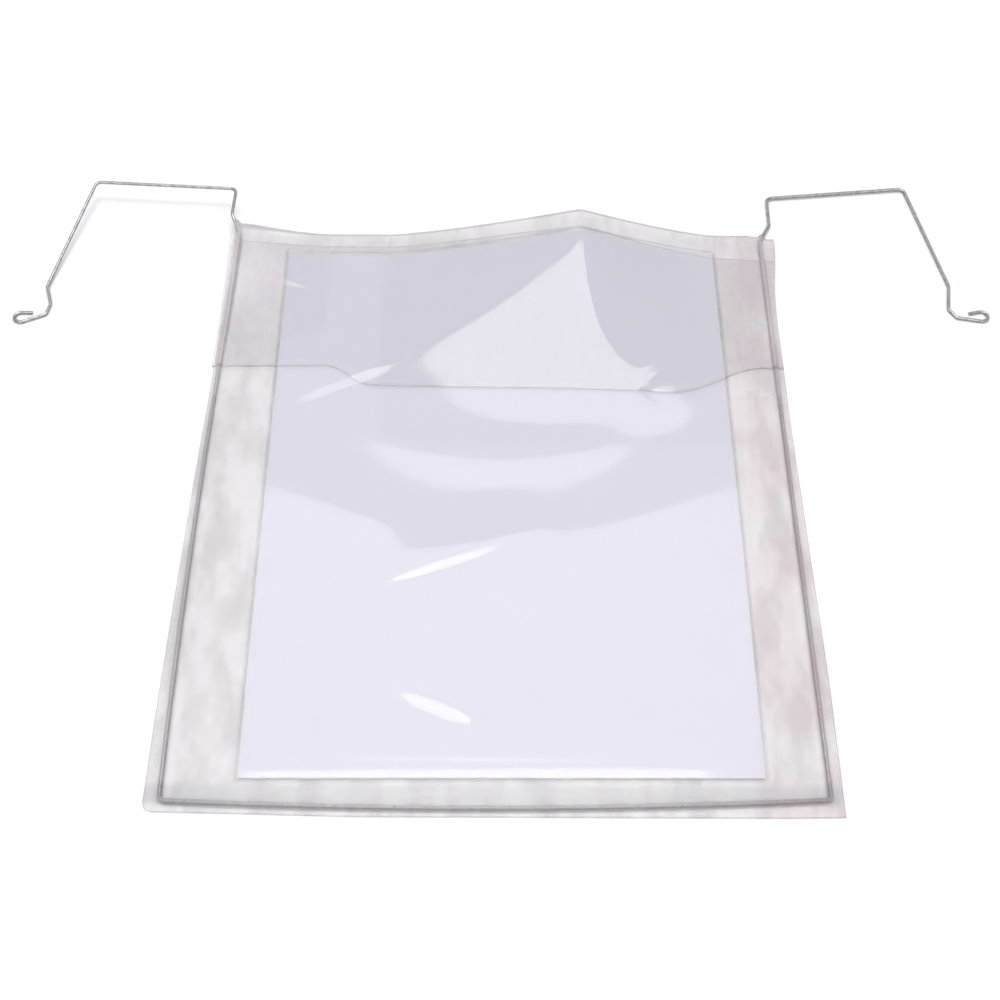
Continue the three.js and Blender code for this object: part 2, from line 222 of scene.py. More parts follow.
bpy.ops.mesh.primitive_plane_add(size=TABLE_SIZE)
table = bpy.context.object
table.name = "table"


def looked_at(tree):
    """1 for rays that come from the camera, straight, by reflection or through glass."""
    camera_ray = tree.node("ShaderNodeLightPath", {}, "Is Camera Ray")
    glossy_ray = tree.node("ShaderNodeLightPath", {}, "Is Glossy Ray")
    clear_ray = tree.node("ShaderNodeLightPath", {}, "Is Transmission Ray")
    return camera_ray.larger(glossy_ray).larger(clear_ray)


table_look = Tree(bpy.data.materials.new("table_white"))
matt = table_look.node("ShaderNodeBsdfDiffuse", {"Color": TABLE_WHITE})
plain = table_look.node("ShaderNodeEmission", {"Color": BACKGROUND_WHITE, "Strength": 1.0})
middle_away = table_look.node("ShaderNodeTexCoord", {}, "Object")
away = table_look.node("ShaderNodeVectorMath", {"Vector": middle_away}, "Value", operation="LENGTH")
far = away.step(*FAR_TABLE) * looked_at(table_look)
both = {"Fac": far, "Shader": matt, "Shader_001": plain}
table_shader = table_look.node("ShaderNodeMixShader", both)
table_look.node("ShaderNodeOutputMaterial", {"Surface": table_shader})
table.data.materials.append(table_look.owner)
table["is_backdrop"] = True
print("table:", len(table_look.nodes), "nodes")

# %%
LAMP_DISTANCE = 1.5
HOT_BAND_NEARER = 0.02
SOFT_BOX = {"low": 51.5, "high": 86, "left": -0.42, "right": 0.32, "radiance": 3.4}
HOT_BAND = {"low": 67.5, "high": 76, "left": -0.30, "right": 0.25, "radiance": 6.0}
FILL = {"low": 112, "high": 150, "left": -0.75, "right": 0.75, "radiance": 1.7}


def hang_lamp(name, low, high, left, right, radiance, distance):
    """An even white panel between two elevations, seen from the pocket."""
    elevation = math.radians((low + high) / 2)
    tall = 2 * distance * math.tan(math.radians(high - low) / 2)
    panel = bpy.data.lights.new(name, "AREA")
    panel.shape = "RECTANGLE"
    panel.size = right - left
    panel.size_y = tall
    panel.energy = radiance * math.pi * panel.size * panel.size_y
    hung = bpy.data.objects.new(name, panel)
    turn = Matrix.Rotation(elevation - math.pi / 2, 4, "X")
    hung.matrix_world = turn @ Matrix.Translation(((left + right) / 2, 0, distance))
    hung.visible_camera = False
    bpy.context.scene.collection.objects.link(hung)
    print(name, "is", round(panel.size, 2), "m wide and", round(tall, 2), "m tall")


hang_lamp("soft_box", distance=LAMP_DISTANCE, **SOFT_BOX)
hang_lamp("hot_band", distance=LAMP_DISTANCE - HOT_BAND_NEARER, **HOT_BAND)
hang_lamp("fill", distance=LAMP_DISTANCE, **FILL)

# %%
ROOM_LOW = (0.16, 0.16, 0.17, 1)
ROOM_HIGH = (0.75, 0.75, 0.78, 1)
GLOW_RISE = (0.0, 0.9)

room = Tree(bpy.data.worlds.new("studio"))
bpy.context.scene.world = room.owner
toward = room.node("ShaderNodeTexCoord", {}, "Generated")
height = room.node("ShaderNodeSeparateXYZ", {"Vector": toward}, "Z")
glow = room.blend(height.step(*GLOW_RISE), ROOM_LOW, ROOM_HIGH)
seen_sky = room.blend(looked_at(room), glow, BACKGROUND_WHITE)
sky = room.node("ShaderNodeBackground", {"Color": seen_sky})
room.node("ShaderNodeOutputWorld", {"Surface": sky})
print("room:", len(room.nodes), "nodes")

# %% [markdown]
# ## Sizes
#
# These are the drafting sizes of the solids, in millimetres, measured from the
# pocket's lower edge and from the middle line between the wire's side bars. Lists of
# pairs are lines: a place and the value there. DRAFT_ORIGIN is what moves a drafted
# point into the frame. The loaded meshes could be reshaped instead, but they are loose
# triangles, and drawing each piece again from the same sizes gives even, smooth grids.

# %%
PAPER_WIDTH, PAPER_LENGTH, PAPER_THICKNESS = 210, 297, 0.2
PAPER_MIDDLE, PAPER_LOWER_EDGE, PAPER_TURN = 1, 17.5, 0.004
POCKET_LENGTH = 328.5
FILM, GAP, WELD_GAP = 0.3, 0.35, 0.3
WIRE_RADIUS, WIRE_CLEARANCE = 0.8, 0.3
LEFT_REACH = [
    (0, 36), (0.18, 34.9), (0.37, 33.1), (0.55, 31.3), (0.7, 29.3), (0.97, 26.9), (1, 26.4),
]
RIGHT_REACH = [
    (0, 31.8), (0.18, 31.4), (0.4, 29.6), (0.7, 27.4), (0.88, 27.3), (0.97, 29.6), (1, 30),
]
LOWER_EDGE = [(-141, 1.8), (-106, 1.2), (-58, 0), (118, 0), (137, 0.4)]
LIP_DEPTH = [(-128, 8), (-100, 8.4), (0, 9), (38, 11.2), (105, 16), (127, 17)]
FLAP_DEPTH = [(-71, 101), (101, 106.5)]
FLAP_DEPTH_AT_SIDES = 89.5
FLAP_STEPS = [(-71, 11), (101, 22)]
FLAP_OVERHANG = 0.8
CORNER_RADIUS, LIP_CORNER_RADIUS, FOLD_DROP = 4, 2.5, 1.7
LEFT_CORNER, RIGHT_CORNER = (-134.4, 6.4), (131.6, 7.8)
LEFT_KNEE, RIGHT_KNEE = (-127.96, 321.8), (127.3, 324.4)
LEFT_BOW, LOWER_BOW = 2.2, 3.6
RIDGE_X, RIDGE_HEIGHT, RIDGE_LENGTH = 38.5, 17.3, 132
RIDGE_WIDTH_LEFT, RIDGE_WIDTH_RIGHT = 93, 67
RIDGE_CREST, RIDGE_CREST_GROWTH, RIDGE_STEEPNESS, RIDGE_TAKE_UP = 3, 30, 1.3, 3.4
CORNER_LIFT, CORNER_LIFT_WIDTH, CORNER_LIFT_LENGTH = 4.2, 45, 66
FLAP_LIFT, FLAP_LIFT_LENGTH = 3.9, 46

MM = 0.001
DRAFT_ORIGIN = np.array([-0.455, -181.8, 0.0])
POCKET_ROOM = FILM + PAPER_THICKNESS + 2 * GAP
WIRE_HEIGHT = FILM + WIRE_CLEARANCE + WIRE_RADIUS
FOLD_LINE = POCKET_LENGTH - (POCKET_ROOM + 2 * FILM + GAP) / 2


def smooth(value):
    s = np.clip(value, 0, 1)
    return s * s * (3 - 2 * s)


def through(points, at):
    """A smooth line through the points, held at its ends."""
    xs, ys = np.array(points, float).T
    slopes = np.gradient(ys, xs)
    at = np.clip(at, xs[0], xs[-1])
    i = np.clip(np.searchsorted(xs, at, side="right") - 1, 0, len(xs) - 2)
    width = xs[i + 1] - xs[i]
    t = (at - xs[i]) / width
    start = ys[i] * (1 + 2 * t) * (1 - t) ** 2 + slopes[i] * width * t * (1 - t) ** 2
    end = ys[i + 1] * t * t * (3 - 2 * t) - slopes[i + 1] * width * t * t * (1 - t)
    return start + end


def left_side(y):
    return -PAPER_WIDTH / 2 - through(LEFT_REACH, y / POCKET_LENGTH)


def right_side(y):
    return PAPER_WIDTH / 2 + through(RIGHT_REACH, y / POCKET_LENGTH)


def corner_share(x):
    """How far into the lifted left corner a place is, from 0 to 1."""
    start = left_side(FOLD_LINE) + CORNER_LIFT_WIDTH
    return np.clip((start - x) / CORNER_LIFT_WIDTH, 0, 1) ** RIDGE_STEEPNESS


def rise(x, y):
    """How high the pocket's underside stands above the table."""
    down = np.clip((FOLD_LINE - y) / RIDGE_LENGTH, 0, 1)
    crest = RIDGE_CREST / 2 + 2 * RIDGE_CREST_GROWTH * down * down
    width = np.where(x < RIDGE_X, RIDGE_WIDTH_LEFT, RIDGE_WIDTH_RIGHT)
    reach = np.hypot(width, crest) - crest
    off = np.clip((np.hypot(x - RIDGE_X, crest) - crest) / reach, 0, 1)
    ridge = RIDGE_HEIGHT * smooth(1 - down) * (1 - off) ** RIDGE_STEEPNESS
    lifted = smooth(1 - (FOLD_LINE - y) / CORNER_LIFT_LENGTH)
    return ridge + CORNER_LIFT * corner_share(x) * lifted


highest = rise(np.array(RIDGE_X), np.array(FOLD_LINE))
print("highest point of the underside in mm:", round(float(highest), 2))

# %% [markdown]
# ## The wire
#
# One length of wire makes the frame, the hooks and the eyes. A curve with a bevel would
# look much the same, but all its bends would share one radius. Here the bends are listed
# as points, each with the radius it is bent to, in a mesh that is only a chain of edges.
# Each hook is a list of steps from its knee: outwards, up the pocket, and the height
# above the table.

# %%
HOOK_RADII = [3, 3, 3, 2, 2, 2]
KNEE_RADIUS = 3
RIGHT_HOOK = [
    (5.7, 11.6, 0.5), (0.3, 19.7, 0.5), (69.5, 7.4, 0.5),
    (13.9, -68.7, 0.3), (-2.1, -15.5, 0.1), (3.2, -5.4, 0.1),
]
LEFT_HOOK = [
    (4.8, 12.8, 8.2), (-0.7, 17.6, 8.8), (70.2, 4.7, 8.6),
    (16.7, -65.6, 0.8), (-3, -10.9, 0.1), (1.2, -7, 0.1),
]
EYE_RADIUS, EYE_SHANK, EYE_TURN, EYE_TAIL = 3.1, 11.5, math.radians(205), 5.2
EYE_LEANS = {1: math.radians(-11), -1: math.radians(-25)}
EYE_STEPS, LONG_BAR_STEPS, SHORT_BAR_STEPS = 25, 24, 12


def bowed_bar(start, end, bow, count):
    """Points along a bar that bows to its right, both ends included."""
    a, b = np.array(start, float), np.array(end, float)
    outward = np.array([b[1] - a[1], a[0] - b[0]]) / np.hypot(*(b - a))
    share = np.linspace(0, 1, count + 1)[:, None]
    flat = a + share * (b - a) + 4 * bow * share * (1 - share) * outward
    return np.column_stack([flat, WIRE_HEIGHT + rise(flat[:, 0], flat[:, 1])])


def hook_points(knee, hook, side):
    """The hook's bends, one after each step from the knee; side is -1 or 1."""
    steps = np.array(hook, float)
    across = knee[0] + side * np.cumsum(steps[:, 0])
    up = knee[1] + np.cumsum(steps[:, 1])
    return np.column_stack([across, up, WIRE_RADIUS + steps[:, 2]])


def eye_points(foot, side):
    """The open loop at the wire's end: a straight shank, a round turn and a tail."""
    lean = EYE_LEANS[side]
    turn = np.append(np.linspace(0, EYE_TURN, EYE_STEPS), EYE_TURN)
    tail = np.append(np.zeros(EYE_STEPS), EYE_TAIL)
    ahead = EYE_SHANK + EYE_RADIUS * np.sin(turn) + tail * np.cos(turn)
    across = EYE_RADIUS * (1 - np.cos(turn)) + tail * np.sin(turn)
    x = foot[0] + side * (math.cos(lean) * ahead - math.sin(lean) * across)
    y = foot[1] + math.sin(lean) * ahead + math.cos(lean) * across
    return np.column_stack([x, y, np.full(len(x), WIRE_RADIUS)])


left_bar = bowed_bar(LEFT_KNEE, LEFT_CORNER, LEFT_BOW, LONG_BAR_STEPS)
lower_bar = bowed_bar(LEFT_CORNER, RIGHT_CORNER, LOWER_BOW, LONG_BAR_STEPS)
right_bar = bowed_bar(RIGHT_CORNER, RIGHT_KNEE, 0, SHORT_BAR_STEPS)
left_hook = hook_points(LEFT_KNEE, LEFT_HOOK, -1)
right_hook = hook_points(RIGHT_KNEE, RIGHT_HOOK, 1)
left_eye = eye_points(left_hook[-1], -1)
right_eye = eye_points(right_hook[-1], 1)
print("bends in each hook:", len(left_hook), len(right_hook))

# %%
wire_points = np.concatenate([
    left_eye[::-1], left_hook[::-1], left_bar, lower_bar[1:], right_bar[1:], right_hook, right_eye,
])
wire_radii = np.concatenate([
    np.zeros(len(left_eye)), HOOK_RADII[::-1],
    [KNEE_RADIUS], np.zeros(len(left_bar) - 2), [KNEE_RADIUS],
    np.zeros(len(lower_bar) - 2), [KNEE_RADIUS],
    np.zeros(len(right_bar) - 2), [KNEE_RADIUS],
    HOOK_RADII, np.zeros(len(right_eye)),
])


def in_frame(points):
    return (np.asarray(points, float) + DRAFT_ORIGIN) * MM


def mesh_object(name, points, edges=(), faces=()):
    mesh = bpy.data.meshes.new(name)
    mesh.from_pydata(in_frame(points).tolist(), edges, faces)
    made = bpy.data.objects.new(name, mesh)
    bpy.context.scene.collection.objects.link(made)
    return made


chain = [(i, i + 1) for i in range(len(wire_points) - 1)]
wire = mesh_object("wire", wire_points, edges=chain)
bends = wire.data.attributes.new("bend_radius", "FLOAT", "POINT")
bends.data.foreach_set("value", (wire_radii * MM).astype(np.float32))
wire_length = np.linalg.norm(np.diff(wire_points, axis=0), axis=1).sum()
print("wire length in mm:", round(float(wire_length)))

# %% [markdown]
# Geometry nodes turn the chain into a curve, round every bend by its own radius and
# sweep a circle along it. The node group takes the wire's radius and its material as
# named inputs, so that the same group could draw a thicker rod. What it makes is kept as
# a plain mesh, and the modifier is removed.

# %%
BEND_SEGMENTS, WIRE_SIDES = 8, 20


def node_group(name, inputs):
    group = bpy.data.node_groups.new(name, "GeometryNodeTree")
    group.interface.new_socket("Geometry", in_out="INPUT", socket_type="NodeSocketGeometry")
    group.interface.new_socket("Geometry", in_out="OUTPUT", socket_type="NodeSocketGeometry")
    for label, kind in inputs:
        group.interface.new_socket(label, in_out="INPUT", socket_type=kind)
    return group


def bake(owner, group, values):
    modifier = owner.modifiers.new(group.name, "NODES")
    modifier.node_group = group
    for item in group.interface.items_tree:
        if item.in_out == "INPUT" and item.name in values:
            modifier[item.identifier] = values[item.name]
    graph = bpy.context.evaluated_depsgraph_get()
    made = bpy.data.meshes.new_from_object(owner.evaluated_get(graph))
    owner.modifiers.remove(modifier)
    owner.data = made
    print(owner.name, "has", len(made.polygons), "faces")


rod = node_group("bent_rod", [("Radius", "NodeSocketFloat"), ("Material", "NodeSocketMaterial")])
entry = rod.nodes.new("NodeGroupInput")
leave = rod.nodes.new("NodeGroupOutput")
to_curve = rod.nodes.new("GeometryNodeMeshToCurve")
bend_size = rod.nodes.new("GeometryNodeInputNamedAttribute")
bend_size.data_type = "FLOAT"
bend_size.inputs["Name"].default_value = "bend_radius"
fillet = rod.nodes.new("GeometryNodeFilletCurve")
fillet.mode = "POLY"
fillet.inputs["Count"].default_value = BEND_SEGMENTS
fillet.inputs["Limit Radius"].default_value = True
section = rod.nodes.new("GeometryNodeCurvePrimitiveCircle")
section.inputs["Resolution"].default_value = WIRE_SIDES
sweep = rod.nodes.new("GeometryNodeCurveToMesh")
sweep.inputs["Fill Caps"].default_value = True
real = rod.nodes.new("GeometryNodeRealizeInstances")
painted = rod.nodes.new("GeometryNodeSetMaterial")
for start, end in [
    (entry.outputs["Geometry"], to_curve.inputs["Mesh"]),
    (to_curve.outputs["Curve"], fillet.inputs["Curve"]),
    (bend_size.outputs["Attribute"], fillet.inputs["Radius"]),
    (entry.outputs["Radius"], section.inputs["Radius"]),
    (fillet.outputs["Curve"], sweep.inputs["Curve"]),
    (section.outputs["Curve"], sweep.inputs["Profile Curve"]),
    (sweep.outputs["Mesh"], real.inputs["Geometry"]),
    (real.outputs["Geometry"], painted.inputs["Geometry"]),
    (entry.outputs["Material"], painted.inputs["Material"]),
    (painted.outputs["Geometry"], leave.inputs["Geometry"]),
]:
    rod.links.new(start, end)
print("rod group:", len(rod.nodes), "nodes")

# %% [markdown]
# Galvanised wire is bright and slightly uneven, with small patches where the zinc is
# duller. A picture of metal could be wrapped round it, but noise on the object's own
# coordinates needs no unwrapping and has no seams.

# %%
WIRE_BRIGHT = (0.36, 0.365, 0.37, 1)
WIRE_DULL = (0.25, 0.255, 0.26, 1)
PATCH_SCALE, PATCH_RANGE = 420, (0.35, 0.7)
GRAIN_SCALE, GRAIN_DEPTH = 1600, 0.00001
SHARP_ANGLE = math.radians(60)

zinc = Tree(bpy.data.materials.new("galvanised_wire"))
patches = zinc.noise(PATCH_SCALE, 2).step(*PATCH_RANGE)
zinc_shader = zinc.node("ShaderNodeBsdfPrincipled", {
    "Base Color": zinc.blend(patches, WIRE_BRIGHT, WIRE_DULL),
    "Metallic": 1.0,
    "Roughness": 0.2 + 0.1 * patches,
    "Normal": zinc.bump(zinc.noise(GRAIN_SCALE, 2), GRAIN_DEPTH),
})
zinc.node("ShaderNodeOutputMaterial", {"Surface": zinc_shader})

bake(wire, rod, {"Radius": WIRE_RADIUS * MM, "Material": zinc.owner})
wire.data.shade_smooth()
wire.data.set_sharp_from_angle(angle=SHARP_ANGLE)
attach(wire, "root")
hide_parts("wire_hanger")

# %% [markdown]
# ## The faces of the films
#
# Each film is a height above the pocket's underside. Over the wire it forms a channel,
# outside it the two films are welded, and inside it the front film stands clear of the
# paper by a third of a millimetre, with shallow waves. Film could be draped by a cloth
# simulation, but its few long waves are easier to place as formulas, and their slopes
# decide where a lamp is seen: a slope towards the camera mirrors a higher part of it.

# %%
CHANNEL_SHOULDER, POCKET_SLOPE = 1.4, 4
CHANNEL_HALF = WIRE_RADIUS + CHANNEL_SHOULDER
WELD_LEVEL = FILM + WELD_GAP
CHANNEL_TOP = WIRE_HEIGHT + WIRE_RADIUS + WIRE_CLEARANCE
POCKET_START = CHANNEL_HALF + POCKET_SLOPE

plan = np.concatenate([
    left_hook[:1], left_bar, lower_bar[1:], right_bar[1:], right_hook[:1],
])[:, :2]
left_line = left_bar[::-1, :2]
right_line = right_bar[:, :2]


def from_wire(x, y):
    """Distance from the wire's centre line, seen from above."""
    nearest = np.full(np.shape(x), np.inf)
    for a, b in zip(plan[:-1], plan[1:]):
        line = b - a
        share = np.clip(((x - a[0]) * line[0] + (y - a[1]) * line[1]) / (line @ line), 0, 1)
        away = np.hypot(x - a[0] - share * line[0], y - a[1] - share * line[1])
        nearest = np.minimum(nearest, away)
    return nearest


def left_bar_at(y):
    return np.interp(y, left_line[:, 1], left_line[:, 0])


def right_bar_at(y):
    return np.interp(y, right_line[:, 1], right_line[:, 0])


def lower_bar_at(x):
    return np.interp(x, lower_bar[:, 0], lower_bar[:, 1])


print("channel in mm:", round(2 * CHANNEL_HALF, 1), "wide")

# %% [markdown]
# A wave is a long low swell: its middle, its half length across the pocket, its half
# width up the pocket and its height, in millimetres. Its crest may bow and turn, and its
# far side may be longer than its near side.

# %%
BOW_WIDTH = 100
WAVES = [
    {"middle": (0, 187), "across": 92, "length": 15, "size": 0.42, "bow": 46},
    {"middle": (0, 134), "across": 96, "length": 17, "size": 0.42, "bow": 36},
    {"middle": (-22, 128), "across": 32, "length": 4.2, "size": 0.8, "turn": 0.4, "far": 4},
    {"middle": (-28, 58), "across": 22, "length": 9, "size": 0.75, "turn": -0.45, "far": 1.5},
    {"middle": (-42, 255), "across": 50, "length": 19, "size": 0.7, "turn": 0.4},
    {"middle": (62, 96), "across": 26, "length": 9, "size": 0.25, "turn": -0.6},
    {"middle": (-88, 92), "across": 24, "length": 12, "size": 0.3, "turn": 0.5},
    {"middle": (0, 30), "across": 110, "length": 6, "size": 0.25, "turn": -0.02},
    {"middle": (76, 236), "across": 16, "length": 5, "size": 0.35, "turn": 0.8},
    {"middle": (62, 222), "across": 9, "length": 4, "size": 0.3, "turn": -0.9},
    {"middle": (-72, 232), "across": 20, "length": 4, "size": 0.35, "turn": 0.5},
    {"middle": (-60, 246), "across": 22, "length": 4, "size": 0.25, "turn": 0.55},
    {"middle": (-92, 292), "across": 14, "length": 3, "size": 0.3, "turn": -0.35},
    {"middle": (-122, 268), "across": 8, "length": 4, "size": 0.4, "turn": -0.4},
]


def wave(x, y, middle, across, length, size, bow=0.0, turn=0.0, far=1.0):
    u = x - middle[0]
    v = y - middle[1] - turn * u - bow * (u / BOW_WIDTH) ** 2
    v = np.where(v > 0, v / far, v)
    return size * np.exp(-((v / length) ** 2)) * np.exp(-((u / across) ** 4))


def waves(x, y):
    return sum(wave(x, y, **each) for each in WAVES)


def front_face(x, y):
    distance = from_wire(x, y)
    bulge = (1 + np.cos(np.pi * np.clip(distance / CHANNEL_HALF, 0, 1))) / 2
    beside = (x > left_bar_at(y)) & (x < right_bar_at(y)) & (y > lower_bar_at(x))
    inside = np.where(beside, smooth((distance - CHANNEL_HALF) / (POCKET_START - CHANNEL_HALF)), 0)
    room = (POCKET_ROOM - WELD_LEVEL) * inside + waves(x, y) * inside
    return WELD_LEVEL + (CHANNEL_TOP - WELD_LEVEL) * bulge + room


def flap_face(x, y):
    lifted = smooth(1 - (FOLD_LINE - y) / FLAP_LIFT_LENGTH)
    return front_face(x, y) + FILM + GAP + FLAP_LIFT * corner_share(x) * lifted


heights = [float(front_face(np.array(0.0), np.array(y))) for y in (100.0, 200.0)]
print("front film above the underside in mm:", np.round(heights, 2))

# %% [markdown]
# ## Columns and rows
#
# A subdivided plane would need very small faces everywhere to show a channel that is
# 4 mm wide. Both films share one set of columns instead: close together at the edges,
# across the channel and over the ridge, and wider apart elsewhere. The outer ones follow
# the film's side and the wire's bar up the pocket, so that edges and channels stay sharp.

# %%
OVER_WIRE = np.linspace(-CHANNEL_HALF, CHANNEL_HALF, 13)
EDGE_SHARES = np.array([0, 0.08, 0.25, 0.6])
INNER = np.concatenate([
    np.arange(-118, -12, 2.6), np.arange(-12, 54, 1.5), np.arange(54, 118, 2.6),
])
LOW_ROW = 24.0


def round_inset(distance, radius):
    """How far a round corner cuts in, at a distance from the corner's edge."""
    d = np.clip(radius - distance, 0, radius)
    return radius - np.sqrt(radius * radius - d * d)


def left_edge(y, overhang):
    return left_side(y) - overhang + round_inset(y - LOWER_EDGE[0][1], CORNER_RADIUS)


def right_edge(y):
    return right_side(y) - round_inset(POCKET_LENGTH - FOLD_DROP - y, LIP_CORNER_RADIUS)


def columns(y, overhang=0.0):
    """Where each column crosses the heights y, one height for each column or one for all."""
    left, right = left_bar_at(y), right_bar_at(y)
    edge, far_edge = left_edge(y, overhang), right_edge(y)
    parts = [edge + s * (left - CHANNEL_HALF - edge) for s in EDGE_SHARES]
    parts += [left + d for d in OVER_WIRE]
    parts += [left + POCKET_START]
    parts += [np.broadcast_to(x, np.shape(y)) for x in INNER]
    parts += [right - POCKET_START]
    parts += [right + d for d in OVER_WIRE]
    parts += [far_edge + s * (right + CHANNEL_HALF - far_edge) for s in EDGE_SHARES[::-1]]
    return parts


def column_places(y, overhang=0.0):
    """y holds a height for each row and column; the result holds the place across."""
    overhang = np.broadcast_to(overhang, y.shape)
    found = [columns(y[:, i], overhang[:, i])[i] for i in range(y.shape[1])]
    return np.stack(found, 1)


def one_row(y):
    """The places of all columns at one height."""
    return np.array([float(x) for x in columns(np.array(y))])


low = one_row(LOW_ROW)
top = one_row(FOLD_LINE)
print("columns:", len(low))

# %% [markdown]
# A Solidify modifier could give a sheet its thickness. Here the solids' own gaps are
# kept exactly, so a film or a sheet is built as a closed shell: a lower grid, an upper
# grid and a narrow wall round them. Its attributes go to the shader: whether a point is
# on a cut edge or a fold, and how far it is from the wire.

# %%
FOLD_RIM = 0.6


def surface(x, y, z):
    return np.stack([x, y, z], -1)


def shell(name, lower, upper, material, folded=()):
    rows, count = lower.shape[:2]
    points = np.concatenate([lower.reshape(-1, 3), upper.reshape(-1, 3)])
    index = np.arange(rows * count).reshape(rows, count)
    corners = [index[:-1, :-1], index[:-1, 1:], index[1:, 1:], index[1:, :-1]]
    quads = np.stack(corners, -1).reshape(-1, 4)
    ring = np.concatenate([index[0], index[1:, -1], index[-1, -2::-1], index[-2:0:-1, 0]])
    after = np.roll(ring, -1)
    shift = rows * count
    wall = np.stack([ring, after, after + shift, ring + shift], -1)
    faces = np.concatenate([quads[:, ::-1], quads + shift, wall]).tolist()
    made = mesh_object(name, points, faces=faces)
    made.data.shade_smooth()
    made.data.set_sharp_from_angle(angle=SHARP_ANGLE)
    made.data.materials.append(material)
    rim = np.zeros((rows, count))
    rim[0] = rim[-1] = 1
    rim[:, 0] = rim[:, -1] = 1
    rim[list(folded)] = FOLD_RIM
    values = {
        "rim": np.concatenate([rim.ravel(), rim.ravel()]),
        "wire_distance": from_wire(points[:, 0], points[:, 1]),
    }
    for key, value in values.items():
        attribute = made.data.attributes.new(key, "FLOAT", "POINT")
        attribute.data.foreach_set("value", value.astype(np.float32))
    print(name, "has", len(faces), "faces")
    return made


print("faces for each row of a film:", 2 * (len(low) - 1))

# %% [markdown]
# ## Clear film
#
# The film hardly tints what is behind it. A glass shader with refraction would show
# that too, but each of the thin shells would bend and darken the view, and take long to
# render. A glossy plastic that is mostly transparent does it with one Alpha: a little
# haze makes it visible, and more of it marks the cut edges, the channel over the wire
# and the cloudy patches where the two films cling together beside the paper. At the
# channel's sides and along the paper's edge the haze and a darker colour are painted
# shade, and over the wire a paler haze is a painted highlight.
#
# First come the zones, each 1 inside and 0 outside. Places are in the drafting
# millimetres again, so that the paper's edge is found at any point of the film.

# %%
# the second pair is where the painted shadow line beside the paper fades out, in mm from its edge
PAPER_EDGE, PAPER_SHADOW_FADE = (0.0, 0.6), (0.6, 2.6)
BELOW_PAPER = (4, 8), (12, 17)
WELD_STARTS, WELD_FROM_PAPER = (2.2, 2.8), (14, 18)
# where the painted shade at the channel's sides and the painted highlight over the wire lie, in mm
# from the wire's centre line
CHANNEL_SHADE_BANDS, WIRE_HIGHLIGHT_EDGE = ((0.6, 0.9), (1.1, 1.5)), (0.5, 0.9)
FLAP_STARTS, LIP_ENDS = (219, 223), (312, 321)
MILLIMETRES = 1000

film = Tree(bpy.data.materials.new("clear_film"))
rim = film.attribute("rim")
wire_away = film.attribute("wire_distance")
spot = film.node("ShaderNodeTexCoord", {}, "Object")
across = film.node("ShaderNodeSeparateXYZ", {"Vector": spot}, "X")
across = MILLIMETRES * across - DRAFT_ORIGIN[0]
along = film.node("ShaderNodeSeparateXYZ", {"Vector": spot}, "Y")
along = MILLIMETRES * along - DRAFT_ORIGIN[1]

share_up = (along - PAPER_LOWER_EDGE) * (1 / PAPER_LENGTH)
off_middle = (across - PAPER_MIDDLE + PAPER_TURN * PAPER_LENGTH * share_up).size()
beside = off_middle - PAPER_WIDTH / 2 + RIDGE_TAKE_UP / 2 * share_up * share_up
above = along - PAPER_LOWER_EDGE - PAPER_TURN * across
paper_away = beside.larger(above - PAPER_LENGTH).larger(0 - above)

in_margin = paper_away.step(*PAPER_EDGE)
# painted shadow: a thin dark line in the film right beside the paper's edge
painted_paper_shadow = in_margin * (1 - paper_away.step(*PAPER_SHADOW_FADE))
below_paper = along.band(*BELOW_PAPER)
weld = wire_away.step(*WELD_STARTS) * in_margin * paper_away.step(*WELD_FROM_PAPER)
# painted shade: thin dark lines in the film along each side of the wire
painted_channel_shade = wire_away.band(*CHANNEL_SHADE_BANDS)
# painted highlight: denser, paler haze in the film over the middle of the wire
painted_wire_highlight = 1 - wire_away.step(*WIRE_HIGHLIGHT_EDGE)
under_flap = in_margin * along.step(*FLAP_STARTS)
above_lip = in_margin * along.step(*LIP_ENDS)
print("zones:", len(film.nodes), "nodes")

# %% [markdown]
# Then each zone says how much haze and how much darkening it adds. Clouds are noise that
# is stretched up the pocket. Where the flap lies on the margins, the view passes six
# faces of film and the table seen through them renders too dark, so the haze there is
# denser and its colour paler: painted light that makes up for it.

# %%
CLOUD_SCALE, CLOUD_STRETCH, CLOUD_RANGE = 70, (1, 0.4, 1), (0.38, 0.66)
CLOUDS_LOST_BELOW = 0.6
HAZE = 0.13
CLOUD_HAZE, CLOUD_DARK = 0.09, 0.22
# haze and darkening of the painted shadow line beside the paper
PAPER_SHADOW_HAZE, PAPER_SHADOW_DARK = 0.12, 0.6
RIM_HAZE, RIM_DARK = 0.3, 0.8
# haze and darkening of the painted shade at the channel's sides
CHANNEL_SHADE_HAZE, CHANNEL_SHADE_DARK = 0.08, 0.15
BELOW_HAZE, BELOW_DARK = 0.05, 0.8
# extra haze over the wire, the painted highlight
WIRE_HIGHLIGHT_HAZE = 0.26
# denser haze under the flap in the margins: with the paler colour, painted light for the table that
# renders too dark behind six faces
FLAP_HAZE_MORE = 0.35
LIP_DARK_LESS, LIP_DARK = 0.8, 0.12

cloud = film.noise(CLOUD_SCALE, 2, CLOUD_STRETCH).step(*CLOUD_RANGE)
cloud = cloud * (1 - CLOUDS_LOST_BELOW * below_paper)
haze = HAZE + CLOUD_HAZE * in_margin * cloud + PAPER_SHADOW_HAZE * painted_paper_shadow
haze = haze + RIM_HAZE * rim + CHANNEL_SHADE_HAZE * painted_channel_shade
haze = haze * (1 + FLAP_HAZE_MORE * under_flap)
haze = haze + WIRE_HIGHLIGHT_HAZE * painted_wire_highlight + BELOW_HAZE * below_paper
